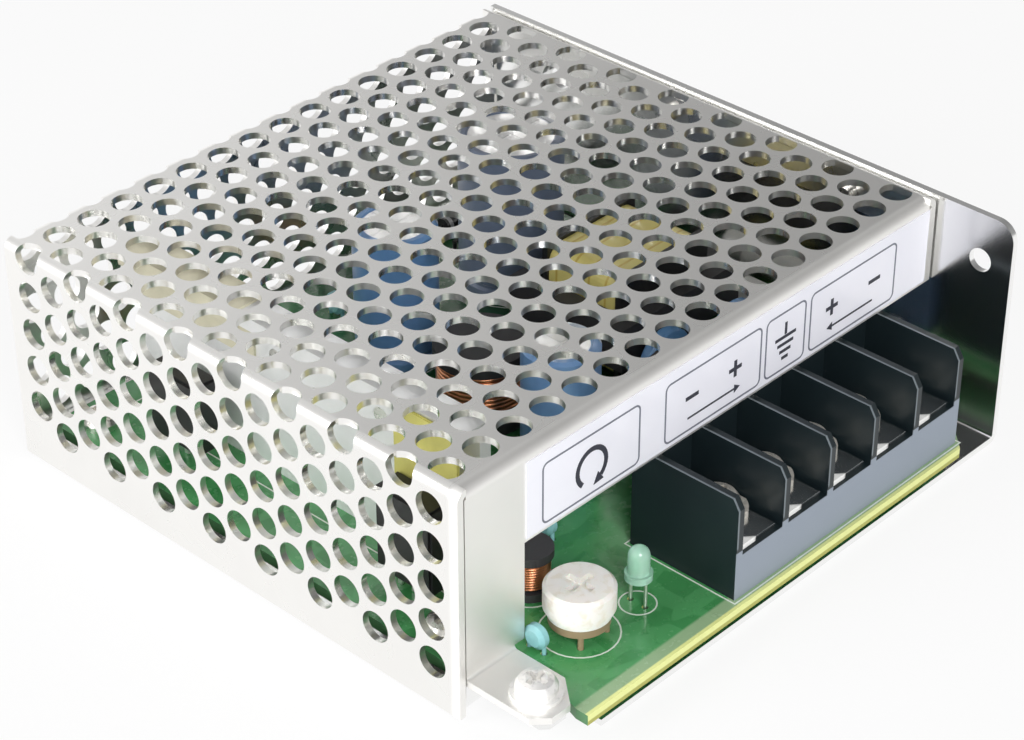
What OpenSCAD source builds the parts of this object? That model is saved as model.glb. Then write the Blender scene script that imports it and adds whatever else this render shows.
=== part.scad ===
// Enclosed switching power supply: a folded chassis and a perforated folded cover round one
// circuit board, with an open five-way barrier terminal block along the front.
// Lengths are in millimetres. X runs along the front, Y to the back, Z up.
// The origin is under the middle of the whole unit, on the surface that it stands on.

/* [Case] */
// Width over the cover's perforated side and the chassis wall
case_w = 97.5; // [90:0.5:130]
// Depth of the chassis, from the wall's front edge to the back
case_l = 99; // [92:0.5:130]
// Height
case_h = 36; // [33:0.5:50]
// Thickness of the chassis and cover sheet
sheet_t = 1; // [0.8:0.1:1.2]
// Inner radius of each fold
fold_r = 0.5; // [0.3:0.1:0.8]
// How far the chassis runs ahead of the cover's front
wall_ahead = 13; // [12:0.5:18]
// Height of the label strip over the terminals
strip_h = 13.7; // [10:0.1:14]
// Width of the column at the left of the front opening
column_w = 10.6; // [10:0.1:13]
// Width of the cover's screw tab
tab_w = 8.8; // [8.4:0.1:10]
// Height of the lip that tucks behind the wall
lip_h = 7; // [6.5:0.1:9]

/* [Perforation] */
// Diameter of the vent holes
vent_d = 4.6; // [2.5:0.1:4.8]
// Hole pitch along a row
vent_pitch = 6; // [5:0.1:8]
// Distance between rows
row_pitch = 5.1; // [4.5:0.1:7]
// From the cover's front face to the first row
first_row = 4.8; // [4:0.1:8]
// From the cover's left face to the first row's first hole
first_hole = 3.1; // [2.5:0.1:5]

/* [Circuit board] */
// Board thickness
board_t = 1.6; // [1:0.1:2]
// Height of the stand-offs under the board
standoff_h = 3; // [2.6:0.1:6]
// How far the board stands out ahead of the chassis
board_proud = 1.8; // [0.5:0.1:3]
// Thickness of the insulating film under the board
film_t = 0.3; // [0.2:0.05:0.5]
// Nominal size of the case and board screws
screw_d = 3; // [2.5:0.5:3]

/* [Terminal block] */
// Number of terminals
ways = 5; // [3:1:5]
// Terminal pitch
way_pitch = 9.5; // [9:0.1:10]
// Barrier thickness
barrier_t = 1.2; // [1:0.1:1.6]
// Barrier height above the board
barrier_h = 15.9; // [14:0.1:16]
// Height of the ledge that the contacts lie on
ledge_h = 6.8; // [6:0.1:8]
// Depth of the block, front to back
block_l = 18; // [17:0.1:20]
// Terminal screw size
terminal_screw_d = 3.5; // [3:0.5:4]
// How far a clamp plate lifts off its contact
clamp_lift = 2.5; // [1:0.1:3]

/* [Trimmer and lamp] */
// Diameter of the adjuster's cap
trimmer_d = 9.6; // [8:0.1:10]
// Height of the cap
trimmer_h = 4.6; // [3:0.1:5]
// Diameter of the indicator lamp
lamp_d = 3; // [3:0.5:5]

/* [Parts on the board] */
// Diameter of the main reservoir capacitor
main_cap_d = 16; // [12:0.5:17]
// Height of the main reservoir capacitor
main_cap_h = 25; // [15:0.5:27]
// Diameter of the second reservoir capacitor
second_cap_d = 12.5; // [10:0.5:13]
// Diameter of the output capacitor
output_cap_d = 11; // [8:0.5:12]
// Width of the transformer core
core_w = 26; // [20:0.5:27]
// Length of the heat sink
sink_l = 66; // [40:1:68]
// Thickness of the heat sink
sink_t = 2; // [1.5:0.1:3]

/* [Hidden] */
$fn = 48;

// Places: u is measured from the left face, v back from the cover's front face.
total_l = case_l + board_proud;
cover_front = board_proud + wall_ahead - total_l / 2;
cover_l = case_l - wall_ahead;
seam = 0.3;                                   // open gap along a folded corner
slip = 0.1;                                   // clearance between nested sheets
cover_w = case_w - sheet_t - seam;
fold_o = fold_r + sheet_t;                    // outer radius of a fold
fold_mid = fold_r + sheet_t / 2;
fold_arc = fold_mid * PI / 2;                 // length of sheet in a fold

function at_u(u) = u - case_w / 2;
function at_v(v) = cover_front + v;

board_z = sheet_t + standoff_h;
board_top = board_z + board_t;
board_inset = 0.7;                            // board edge to the chassis flanges

// The cover's tab and the chassis ear under it
tab_z = board_top;
tab_top = tab_z + sheet_t;
tab_reach = wall_ahead - 0.4;
tab_left = sheet_t + 0.2;
ear_left = 2.2;
ear_right = tab_left + tab_w - 1.8;
ear_reach = tab_reach - 0.3;
cover_screw_at = [(ear_left + ear_right) / 2 + 0.3, -wall_ahead + 5.1];
riser_v = sheet_t + slip;                     // front face of the riser behind the column
cut_back_u = 12;                              // the base stops at the riser left of this

// Screw and thread radii
shank_r = screw_d / 2 - 0.25;
thread_r = shank_r + 0.05;
clear_r = screw_d / 2 + 0.2;

// Terminal block
block_u = 37.4;
block_front = -wall_ahead - 0.5;
block_back = block_front + block_l;
block_w = ways * way_pitch + barrier_t;
ledge_top = board_top + ledge_h;
barrier_top = board_top + barrier_h;
contact_t = 0.8;
contact_top = ledge_top + contact_t;
clamp_t = 1;
bay_w = way_pitch - barrier_t;
way_screw_v = block_front + 7.9;
terminal_shank_r = terminal_screw_d / 2 - 0.3;
terminal_head_r = terminal_screw_d * 0.92;
terminal_head_h = 2.2;
contact_tail_v = block_back - 4.3;
function way_u(n) = block_u + barrier_t / 2 + (n - 0.5) * way_pitch;

// Trimmer, lamp and small choke on the front of the board
trimmer_at = [19, -2.9];
trimmer_base_z = board_top + 3.2;
lamp_at = [28.5, -4.6];
lamp_z = board_top + 4.2;
lead_pitch = 2.54;
lead_r = 0.3;
lead_under = 1.3;                             // lead ends under the board
small_choke_at = [21, 7.6];

// Larger parts
main_cap_at = [75.5, 62];
second_cap_at = [49, 60];
output_cap_at = [42.2, 21.6];
cap_gap = 0.3;                                // rubber feet under a can
transformer_at = [73, 37];
sink_u = 16.4;
sink_v = 12;
sink_top = 32;
sink_flange_w = 5;
sleeve_t = 0.4;
sleeve_l = 24;
transistor_v = sink_v + 18;
rectifier_v = sink_v + 38;
device_w = 10;
device_t = 4.5;
device_hole_z = 25;
output_choke_at = [46.5, 40.5];
line_choke_at = [58, 15.6];
line_cap_at = [84, 12.5];
fuse_at = [91.6, 30];
fuse_l = 20;
fuse_r = 2.6;
thermistor_at = [72, 11.5];
disc_at = [[66.5, 23.6], [79, 21]];
opto_at = [56, 52];
chip_at = [35, 52];
resistor_at = [[26, 62], [26, 67], [26, 72], [60, 70], [60, 75]];
diode_at = [[88, 48], [88, 54], [80, 74], [80, 78.5]];
ceramic_at = [[12.6, -1.4], [31, 14], [50, 74]];

standoff_at = [[7.5, 10], [7.5, cover_l - 8], [case_w - 7, 10], [case_w - 7, cover_l - 8]];
base_hole_x = 74;
base_hole_y = 55;
base_hole_v = 16;
base_hole_at = [for (i = [-1, 1]) for (j = [0, 1])
    [case_w / 2 + i * base_hole_x / 2, base_hole_v + j * base_hole_y]];
boss_h = 1.2;                                 // drawn collar round each threaded base hole
boss_r = 2.3;
wall_hole_z = case_h - 7.3;
wall_hole_r = 1.8;
wall_hole_span = 79;
wall_hole_v = cover_screw_at[1];
side_screw_v = [14, 48];
side_screw_z = case_h - 4.4;
side_head_r = 2.4;
side_head_h = 0.9;

// Each part's leads, as [u, v] places that the board is drilled at
function pair(at, dv, du = 0) = [[at[0] - du / 2, at[1] - dv / 2], [at[0] + du / 2, at[1] + dv / 2]];
trimmer_leads = [[trimmer_at[0] - 2.5, trimmer_at[1] - 2.5], [trimmer_at[0] + 2.5, trimmer_at[1] - 2.5],
    [trimmer_at[0], trimmer_at[1] + 2.5]];
lamp_leads_at = pair(lamp_at, lead_pitch);
small_choke_leads = pair(small_choke_at, 0, 4);
main_cap_leads = pair(main_cap_at, 7.5);
second_cap_leads = pair(second_cap_at, 5);
output_cap_leads = pair(output_cap_at, 5);
output_choke_leads = pair(output_choke_at, 0, 10);
line_choke_leads = [for (a = pair(line_choke_at, 8)) for (b = pair(a, 0, 7)) b];
line_cap_leads = pair(line_cap_at, 10);
thermistor_leads = pair(thermistor_at, 0, 5);
disc_leads = [for (d = disc_at) each pair(d, 0, 5)];
fuse_leads = pair(fuse_at, fuse_l - 5);
transformer_leads = [for (i = [-1, 1]) for (j = [-1.5:1:1.5])
    [transformer_at[0] + j * 4.5, transformer_at[1] + i * 9.8]];
function row3(v) = [for (i = [-1:1]) [sink_u + sink_t + 2.4, v + i * lead_pitch]];
device_leads = concat(row3(transistor_v), row3(rectifier_v));
opto_leads = [for (i = [-1, 1]) for (j = [-0.5, 0.5]) [opto_at[0] + i * 3.81, opto_at[1] + j * lead_pitch]];
chip_leads = [for (i = [-1, 1]) for (j = [-1.5:1:1.5]) [chip_at[0] + i * 3.81, chip_at[1] + j * lead_pitch]];
resistor_leads = [for (r = resistor_at) each pair(r, 0, 10)];
diode_leads = [for (d = diode_at) each pair(d, 0, 9)];
ceramic_leads = [for (c = ceramic_at) each pair(c, 2.5)];
all_leads = concat(trimmer_leads, lamp_leads_at, small_choke_leads, main_cap_leads, second_cap_leads,
    output_cap_leads, output_choke_leads, line_choke_leads, line_cap_leads, thermistor_leads,
    disc_leads, fuse_leads, transformer_leads, device_leads, opto_leads, chip_leads, resistor_leads,
    diode_leads, ceramic_leads);

// ---- helpers ----

// Moves to a place given from the left face and the cover's front
module place(p, z = 0) {
    translate([at_u(p[0]), at_v(p[1]), z]) children();
}

// A block from corner to corner, in the same coordinates
module block(u, v, z) {
    translate([at_u(u[0]), at_v(v[0]), z[0]]) cube([u[1] - u[0], v[1] - v[0], z[1] - z[0]]);
}

// A flat shape drawn in u and v, raised from z
module slab(z, t) {
    translate([at_u(0), at_v(0), z]) linear_extrude(t) children();
}

// A flat shape drawn in v and z, standing across u
module side_slab(u, t) {
    translate([at_u(u), at_v(0), 0]) rotate([90, 0, 90]) linear_extrude(t) children();
}

// A flat shape drawn in u and z, standing across v
module front_slab(v, t) {
    translate([at_u(0), at_v(v + t), 0]) rotate([90, 0, 0]) linear_extrude(t) children();
}

module rounded_rect(w, l, r) {
    hull() for (i = [-1, 1]) for (j = [-1, 1]) translate([i * (w / 2 - r), j * (l / 2 - r)]) circle(r, $fn = 24);
}

// The section of a quarter fold, in the first quadrant
module fold_section() {
    intersection() {
        difference() {
            circle(fold_o);
            circle(fold_r);
        }
        square(fold_o);
    }
}

// A fold that runs back along Y from v0 to v1, centred on [u, z] and turned by a
module fold_along_y(u, z, v0, v1, a) {
    translate([at_u(u), at_v(v1), z]) rotate([90, 0, 0]) linear_extrude(v1 - v0) rotate(a) fold_section();
}

// A fold that runs along X from u0 to u1, centred on [v, z] and turned by a
module fold_along_x(v, z, u0, u1, a) {
    translate([at_u(u0), at_v(v), z]) rotate([90, 0, 90]) linear_extrude(u1 - u0) rotate(a) fold_section();
}

// Cuts a vent hole through a fold; s is how far past the fold's start the hole's centre lies
module fold_vent(s) {
    turn = max(0, min(1, s / fold_arc)) * 90;
    past = s - turn / 90 * fold_arc;
    rotate([0, turn, 0]) translate([past, 0, 0]) cylinder(h = fold_o + 1, d = vent_d, $fn = 32);
}

// Leads from z down through the board
module leads(places, z, r = lead_r) {
    for (p = places) place(p, board_z - lead_under) cylinder(h = z - board_z + lead_under, r = r, $fn = 16);
}

// Crossed driver recess, cut down from z = 0
module cross_recess(w, depth) {
    for (a = [0, 90]) rotate(a) translate([-w / 2, -w / 8, -depth]) cube([w, w / 4, depth + 1]);
}

// Pan-head screw standing on z = 0, head up
module pan_screw(head_r, head_h, r, length) {
    difference() {
        union() {
            rotate_extrude() polygon([[0, 0], [head_r, 0], [head_r, head_h * 0.45],
                [head_r * 0.82, head_h * 0.85], [head_r * 0.5, head_h], [0, head_h]]);
            translate([0, 0, -length]) cylinder(h = length + 0.2, r = r);
        }
        translate([0, 0, head_h]) cross_recess(head_r * 1.15, head_h * 0.6);
    }
}

// ---- folded metalwork ----

function vent_rows() = floor((cover_l - fold_o - first_row - 2.5) / row_pitch);
function vent_count(width) = floor((width - first_hole * 2) / vent_pitch + 0.01) + 1;
top_rows = vent_rows();
// Sheet distance from the fold's start to the pattern's half column, on the left side
left_shift = fold_o - first_hole + vent_pitch / 2;
function row_v(k) = first_row + k * row_pitch;
function is_odd(k) = k % 2;
function vent_u(k, i) = first_hole + i * vent_pitch - is_odd(k) * vent_pitch / 2;
// Height of hole n in the column that meets row k, on the left side
function vent_z(k, n) = case_h - fold_o + fold_arc
    - (fold_o - vent_u(k, 0)) - (n + 1 - is_odd(k)) * vent_pitch;
side_margin = 6.4;
back_start = cover_l - fold_o;
function back_z(k) = case_h - fold_o + fold_arc - (row_v(k) - back_start);

module vent(x, y) {
    translate([x, y]) circle(d = vent_d, $fn = 32);
}

module cover_top() {
    slab(case_h - sheet_t, sheet_t) difference() {
        translate([fold_o, fold_o]) square([cover_w - 2 * fold_o, cover_l - 2 * fold_o]);
        for (k = [0:top_rows + 1]) for (i = [0:vent_count(cover_w) - 1]) vent(vent_u(k, i), row_v(k));
    }
}

module cover_left() {
    side_slab(0, sheet_t) difference() {
        translate([0, sheet_t - 0.2]) square([cover_l, case_h - fold_o - sheet_t + 0.2]);
        for (k = [0:top_rows]) for (n = [is_odd(k):9])
            if (vent_z(k, n) > side_margin) vent(row_v(k), vent_z(k, n));
    }
}

module cover_back() {
    front_slab(cover_l - sheet_t, sheet_t) difference() {
        translate([sheet_t + seam, sheet_t - 0.2])
            square([cover_w - sheet_t - seam, case_h - fold_o - sheet_t + 0.2]);
        translate([cover_w - fold_o, 0]) square([fold_o + 1, fold_o + seam]);
        for (k = [top_rows + 2:top_rows + 9]) for (i = [is_odd(k):vent_count(cover_w) - 1])
            if (back_z(k) > side_margin + 1) vent(vent_u(k, i), back_z(k));
    }
}

// The label strip and the column at its left end, as one inverted L
module cover_face() {
    front_slab(0, sheet_t) {
        translate([tab_left, case_h - strip_h]) square([cover_w - tab_left, strip_h - fold_o]);
        translate([tab_left, tab_top + fold_r]) square([column_w, case_h - fold_o - tab_top - fold_r]);
    }
}

module cover_lip() {
    side_slab(cover_w - sheet_t, sheet_t) difference() {
        translate([fold_o, case_h - lip_h]) square([cover_l - 2 * fold_o, lip_h - fold_o]);
        translate([wall_hole_v + wall_hole_span, wall_hole_z]) circle(wall_hole_r + 0.8);
        for (v = side_screw_v) translate([v, side_screw_z]) circle(thread_r);
    }
}

module cover_tab() {
    fold_along_x(-fold_r, tab_top + fold_r, tab_left, tab_left + tab_w, -90);
    slab(tab_z, sheet_t) difference() {
        polygon([[tab_left, -fold_r], [tab_left + tab_w, -fold_r], [tab_left + tab_w, 4 - tab_reach],
            [tab_left + tab_w - 3.4, -tab_reach], [tab_left + 2, -tab_reach], [tab_left, 2 - tab_reach]]);
        translate(cover_screw_at) circle(clear_r);
    }
}

module cover() color("gainsboro") {
    cover_top();
    cover_face();
    cover_lip();
    cover_tab();
    difference() {
        union() {
            cover_left();
            fold_along_y(fold_o, case_h - fold_o, 0, cover_l, 90);
        }
        for (k = [1:2:top_rows]) place([fold_o, row_v(k)], case_h - fold_o)
            mirror([1, 0, 0]) fold_vent(fold_o - vent_u(k, 0));
    }
    fold_along_y(cover_w - fold_o, case_h - fold_o, 0, cover_l, 0);
    fold_along_x(fold_o, case_h - fold_o, fold_o, cover_w - fold_o, 90);
    difference() {
        union() {
            cover_back();
            fold_along_x(back_start, case_h - fold_o, fold_o, cover_w - fold_o, 0);
        }
        for (k = [top_rows:top_rows + 1]) for (i = [is_odd(k):vent_count(cover_w) - 1])
            place([vent_u(k, i), back_start], case_h - fold_o) rotate(90) fold_vent(row_v(k) - back_start);
    }
}

module chassis_base() {
    flange_v = cover_l - 2 * sheet_t - slip;
    slab(0, sheet_t) difference() {
        translate([sheet_t + slip + fold_o, -wall_ahead])
            square([case_w - sheet_t - slip - 2 * fold_o, flange_v - fold_r + wall_ahead]);
        translate([0, -wall_ahead - 1]) square([cut_back_u, wall_ahead + 1 + riser_v + fold_o]);
        for (p = base_hole_at) translate(p) circle(thread_r);
        for (p = standoff_at) translate(p) circle(shank_r);
    }
    for (p = base_hole_at) place(p, sheet_t) difference() {
        cylinder(h = boss_h, r = boss_r);
        translate([0, 0, -1]) cylinder(h = boss_h + 2, r = thread_r);
    }
}

module chassis_wall() {
    fold_along_y(case_w - fold_o, fold_o, -wall_ahead, cover_l, -90);
    difference() {
        side_slab(case_w - sheet_t, sheet_t) difference() {
            union() {
                translate([-wall_ahead, fold_o]) square([case_l, case_h - fold_o - 3]);
                translate([3 - wall_ahead, fold_o]) square([case_l - 3, case_h - fold_o]);
                translate([3 - wall_ahead, case_h - 3]) circle(3);
            }
            for (s = [0, wall_hole_span]) translate([wall_hole_v + s, wall_hole_z]) circle(wall_hole_r);
            for (v = side_screw_v) translate([v, side_screw_z]) circle(clear_r);
        }
        for (v = side_screw_v) place([case_w - side_head_h, v], side_screw_z) rotate([0, 90, 0])
            cylinder(h = side_head_h + 0.01, r1 = clear_r, r2 = side_head_r + 0.1);
    }
}

// Low flanges that the cover's left and back sheets lap over
module chassis_flanges() {
    flange_u = sheet_t + slip;
    flange_v = cover_l - 2 * sheet_t - slip;
    flange_h = 4.8;
    fold_along_y(flange_u + fold_o, fold_o, riser_v + fold_o, flange_v - fold_r, 180);
    side_slab(flange_u, sheet_t) translate([riser_v + fold_o, fold_o])
        square([flange_v - fold_r - riser_v - fold_o, flange_h - fold_o]);
    fold_along_x(flange_v - fold_r, fold_o, flange_u + fold_o, case_w - fold_o, -90);
    front_slab(flange_v, sheet_t) translate([flange_u + fold_o, fold_o])
        square([case_w - flange_u - 2 * fold_o - seam, flange_h - fold_o]);
}

// The riser and ear at the front left, under the cover's tab
module chassis_ear() {
    ear_z = tab_z - sheet_t;
    fold_along_x(riser_v + fold_o, fold_o, ear_left, ear_right, 180);
    front_slab(riser_v, sheet_t) translate([ear_left, fold_o]) square([ear_right - ear_left, ear_z - fold_r - fold_o]);
    fold_along_x(riser_v - fold_r, ear_z - fold_r, ear_left, ear_right, 0);
    slab(ear_z, sheet_t) difference() {
        polygon([[ear_left, riser_v - fold_r], [ear_right, riser_v - fold_r], [ear_right, 3.6 - ear_reach],
            [ear_right - 2, -ear_reach], [ear_left + 1, -ear_reach], [ear_left, 1 - ear_reach]]);
        translate(cover_screw_at) circle(thread_r);
    }
}

module chassis() color("silver") {
    chassis_base();
    chassis_wall();
    chassis_flanges();
    chassis_ear();
}

module label_strip() color("whitesmoke") {
    front_slab(-0.15, 0.15) translate([12, case_h - strip_h + 0.5])
        square([cover_w - 13.5, strip_h - fold_o - 0.6]);
}

module cover_screw() color("gainsboro") {
    washer_t = 0.5;
    place(cover_screw_at, tab_top) {
        difference() {
            cylinder(h = washer_t, r = screw_d * 1.15);
            translate([0, 0, -1]) cylinder(h = 3, r = shank_r + 0.01);
        }
        translate([0, 0, washer_t]) pan_screw(screw_d * 0.93, 2, shank_r, 5.2);
    }
}

module side_screws() color("gainsboro") {
    for (v = side_screw_v) place([case_w, v], side_screw_z) rotate([0, 90, 0]) difference() {
        union() {
            translate([0, 0, -side_head_h]) cylinder(h = side_head_h, r1 = screw_d / 2, r2 = side_head_r);
            translate([0, 0, -4]) cylinder(h = 4 - side_head_h + 0.1, r = shank_r);
        }
        cross_recess(2.8, 0.6);
    }
}

// ---- board and its fixings ----

module board_outline() {
    left = 2 * sheet_t + slip + board_inset;
    right = case_w - sheet_t - 1.2;
    back = cover_l - 2 * sheet_t - slip - board_inset;
    front = -wall_ahead - board_proud;
    notch_u = ear_right + 0.6;
    notch_v = riser_v + fold_o;
    front_right = block_u + block_w + 2.4;
    polygon([[left, notch_v], [notch_u, notch_v], [notch_u, 3.9 - ear_reach], [notch_u - 1.4, -0.5 - ear_reach],
        [notch_u - 1.4, front], [front_right - 3, front], [front_right, front + 3], [front_right, 4],
        [right, 4], [right, back], [left, back]]);
}

module circuit_board() color("seagreen") {
    slab(board_z, board_t) difference() {
        board_outline();
        for (p = standoff_at) translate(p) circle(clear_r);
        for (p = all_leads) translate(p) circle(lead_r + 0.15, $fn = 16);
        for (p = device_leads) translate(p) circle(0.6, $fn = 16);
        for (n = [1:ways]) translate([way_u(n), contact_tail_v]) circle(1.6);
    }
}

module insulating_film() color("black") {
    slab(sheet_t, film_t) difference() {
        translate([cut_back_u + 1, -wall_ahead + 2])
            square([block_u + block_w - cut_back_u - 1, wall_ahead + 4]);
        for (p = base_hole_at) translate(p) circle(boss_r + 0.4);
    }
    slab(sheet_t, film_t) difference() {
        translate([5, 6]) square([case_w - 12, cover_l - 12]);
        for (p = standoff_at) translate(p) circle(4);
        for (p = base_hole_at) translate(p) circle(boss_r + 0.4);
    }
}

module board_standoffs() color("silver") {
    for (p = standoff_at) place(p, 0) difference() {
        union() {
            translate([0, 0, sheet_t]) cylinder(h = standoff_h, r = 2.9, $fn = 6);
            translate([0, 0, 0.1]) cylinder(h = sheet_t, r = shank_r - 0.02);
        }
        translate([0, 0, sheet_t + 0.5]) cylinder(h = standoff_h, r = thread_r - 0.2);
    }
}

module board_screws() color("gainsboro") {
    for (p = standoff_at) place(p, board_top) pan_screw(screw_d * 0.93, 2, shank_r - 0.2, board_t + standoff_h - 0.8);
}

// ---- terminal block ----

// Outline of one barrier, in v and z
module barrier_outline() {
    polygon([[block_front, board_top], [block_back, board_top], [block_back, barrier_top],
        [block_front + 1, barrier_top], [block_front, barrier_top - 1.6]]);
}

module terminal_block() color([0.1, 0.12, 0.12]) {
    difference() {
        union() {
            for (n = [0:ways]) side_slab(block_u + n * way_pitch, barrier_t) barrier_outline();
            block([block_u, block_u + block_w], [block_front, block_back], [board_top, ledge_top]);
            block([block_u, block_u + block_w], [block_back - 2.2, block_back], [board_top, barrier_top]);
        }
        for (n = [1:ways]) {
            place([way_u(n), way_screw_v], board_top + 0.8)
                cylinder(h = ledge_h, r = terminal_shank_r + 0.5);
            block([way_u(n) - 1.4, way_u(n) + 1.4], [contact_tail_v - 0.5, contact_tail_v + 0.5],
                [board_top - 1, ledge_top + 1]);
        }
    }
}

module terminal_contacts() color("silver") {
    for (n = [1:ways]) {
        u = way_u(n);
        difference() {
            union() {
                block([u - 3.3, u + 3.3], [block_front + 0.7, contact_tail_v + contact_t / 2], [ledge_top, contact_top]);
                block([u - 1.2, u + 1.2], [contact_tail_v - contact_t / 2, contact_tail_v + contact_t / 2],
                    [board_z - lead_under, contact_top]);
            }
            place([u, way_screw_v], ledge_top - 1) cylinder(h = 4, r = terminal_shank_r + 0.05);
        }
    }
}

module clamp_plate(n) color("gainsboro") {
    place([way_u(n), way_screw_v], contact_top) linear_extrude(clamp_t) difference() {
        intersection() {
            square(bay_w - 0.7, center = true);
            circle(bay_w * 0.5 + 0.1);
        }
        circle(terminal_shank_r + 0.4);
    }
}

module terminal_screw(n) color("gainsboro") {
    place([way_u(n), way_screw_v], contact_top + clamp_t)
        pan_screw(terminal_head_r, terminal_head_h, terminal_shank_r, ledge_h);
}

// ---- trimmer, lamp and small choke ----

module trimmer_base() color("burlywood") {
    leads(trimmer_leads, trimmer_base_z - 1, 0.4);
    place(trimmer_at, trimmer_base_z - 1.2) {
        cylinder(h = 1.2, d = trimmer_d - 1.4);
        cylinder(h = 1.2 + trimmer_h * 0.6, r = 1.2);
    }
}

module trimmer_cap() color("ivory") {
    place(trimmer_at, trimmer_base_z + 0.1) difference() {
        rotate_extrude() polygon([[0, 0], [trimmer_d / 2 - 0.5, 0], [trimmer_d / 2 - 0.5, 0.8],
            [trimmer_d / 2, 1.1], [trimmer_d / 2, trimmer_h - 0.5], [trimmer_d / 2 - 0.5, trimmer_h], [0, trimmer_h]]);
        translate([0, 0, -1]) cylinder(h = 1 + trimmer_h * 0.6, r = 1.25);
        translate([0, 0, trimmer_h]) cross_recess(4.4, 0.9);
    }
}

module lamp_lens() color([0.7, 0.9, 0.8, 0.8]) {
    place(lamp_at, lamp_z) rotate_extrude() {
        square([lamp_d / 2 + 0.4, 1]);
        square([lamp_d / 2, lamp_d + 0.6]);
        translate([0, lamp_d + 0.6]) intersection() {
            circle(lamp_d / 2);
            square(lamp_d);
        }
    }
}

module lamp_leads() color("silver") {
    leads(lamp_leads_at, lamp_z, 0.25);
}

// A drum core: two flanges on a post
module drum(at, z, d, h, post) {
    place(at, z) rotate_extrude() polygon([[0, 0], [d / 2, 0], [d / 2, h * 0.18], [post / 2, h * 0.18],
        [post / 2, h * 0.82], [d / 2, h * 0.82], [d / 2, h], [0, h]]);
}

// Winding between a drum's flanges, with its wires down to the board
module drum_winding(at, z, d, h, post, wires) {
    place(at, z) rotate_extrude() translate([post / 2 + 0.02, h * 0.18 + 0.02])
        square([(d - post) / 2 - 0.4, h * 0.64 - 0.04]);
}

module small_choke_core() color("dimgray") {
    drum(small_choke_at, board_top + 0.2, 6.4, 7, 3);
    leads(small_choke_leads, board_top + 0.3);
}

module small_choke_winding() color("peru") {
    drum_winding(small_choke_at, board_top + 0.2, 6.4, 7, 3);
}

module output_choke_core() color("dimgray") {
    drum(output_choke_at, board_top + 0.2, 14, 12, 6);
    leads(output_choke_leads, board_top + 0.3);
}

module output_choke_winding() color("peru") {
    drum_winding(output_choke_at, board_top + 0.2, 14, 12, 6);
}

// ---- transformer ----

core_l = core_w * 0.84;
core_t = 7;
core_z = board_top + 6.4;
leg_w = core_w * 0.12;
window_w = core_w / 2 - leg_w * 2;

// Two E halves face to face, lying flat
module transformer_core() color("darkslategray") {
    place(transformer_at, core_z) linear_extrude(core_t) difference() {
        square([core_w, core_l], center = true);
        for (s = [-1, 1]) translate([s * (leg_w + window_w / 2), 0])
            square([window_w, core_l - 2 * leg_w], center = true);
    }
}

bobbin_gap = 0.3;
bobbin_w = core_w - 2 * leg_w - 2 * bobbin_gap;
winding_h = 18;

module transformer_bobbin() color([0.12, 0.12, 0.12]) {
    cheek = 1;
    span = core_l - 2 * leg_w - 2 * bobbin_gap;
    difference() {
        union() {
            for (s = [-1, 1]) place([transformer_at[0] - bobbin_w / 2,
                transformer_at[1] + s * (span - cheek) / 2 - cheek / 2], core_z + core_t / 2 - winding_h / 2)
                cube([bobbin_w, cheek, winding_h]);
            place([transformer_at[0] - leg_w - 1.2, transformer_at[1] - span / 2], core_z - 1.2)
                cube([2 * leg_w + 2.4, span, core_t + 2.4]);
            for (s = [-1, 1]) place([transformer_at[0] - bobbin_w / 2, transformer_at[1] + s * 9.8 - 1.8], board_top)
                cube([bobbin_w, 3.6, 3]);
            for (s = [-1, 1]) place([transformer_at[0] - bobbin_w / 2 + 2,
                transformer_at[1] + s * (span - cheek) / 2 - cheek / 2], board_top + 1)
                cube([bobbin_w - 4, cheek, core_z - board_top]);
            place([transformer_at[0] - 3, transformer_at[1] - 10], board_top) cube([6, 20, 1]);
        }
        place([transformer_at[0] - leg_w - 0.1, transformer_at[1] - core_l / 2], core_z - 0.1)
            cube([2 * leg_w + 0.2, core_l, core_t + 0.2]);
    }
    leads(transformer_leads, board_top + 0.5);
}

module transformer_winding() color("gold") {
    span = core_l - 2 * leg_w - 2 * bobbin_gap - 2.1;
    place([transformer_at[0], transformer_at[1] + span / 2], core_z + core_t / 2) rotate([90, 0, 0])
        linear_extrude(span) difference() {
            rounded_rect(bobbin_w - 0.6, winding_h - 1, 2.5);
            square([2 * leg_w + 2.5, core_t + 2.5], center = true);
        }
}

// ---- capacitors ----

// An upright can with a rolled groove near its foot
module can(at, d, h, wires) {
    place(at, board_top + cap_gap) rotate_extrude() polygon([[0, 0], [d / 2 - 0.3, 0], [d / 2, 0.4],
        [d / 2, 1.6], [d / 2 - 0.4, 2], [d / 2 - 0.4, 2.4], [d / 2, 2.8], [d / 2, h - 0.5],
        [d / 2 - 0.5, h], [d / 2 - 1.2, h], [d / 2 - 1.3, h - 0.2], [0, h - 0.2]]);
    leads(wires, board_top + cap_gap + 0.2, 0.4);
}

module main_capacitor() color("slategray") {
    can(main_cap_at, main_cap_d, main_cap_h, main_cap_leads);
}

module second_capacitor() color("cornflowerblue") {
    can(second_cap_at, second_cap_d, 22, second_cap_leads);
}

module output_capacitor() color("lightsteelblue") {
    can(output_cap_at, output_cap_d, 22, output_cap_leads);
}

module disc_capacitors() color("cornflowerblue") {
    for (d = disc_at) place([d[0], d[1]], board_top + 7) rotate([90, 0, 0]) rotate_extrude()
        polygon([[0, -1.6], [3, -1.6], [4.6, -0.9], [4.8, -0.6], [4.8, 0.6], [4.6, 0.9], [3, 1.6], [0, 1.6]]);
    leads(disc_leads, board_top + 4);
}

module ceramic_capacitors() color("skyblue") {
    for (c = ceramic_at) place(c, board_top + 2.2) rotate([0, 90, 0]) rotate_extrude()
        polygon([[0, -0.9], [1.2, -0.9], [1.8, -0.4], [1.8, 0.4], [1.2, 0.9], [0, 0.9]]);
    leads(ceramic_leads, board_top + 1.6);
}

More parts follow.
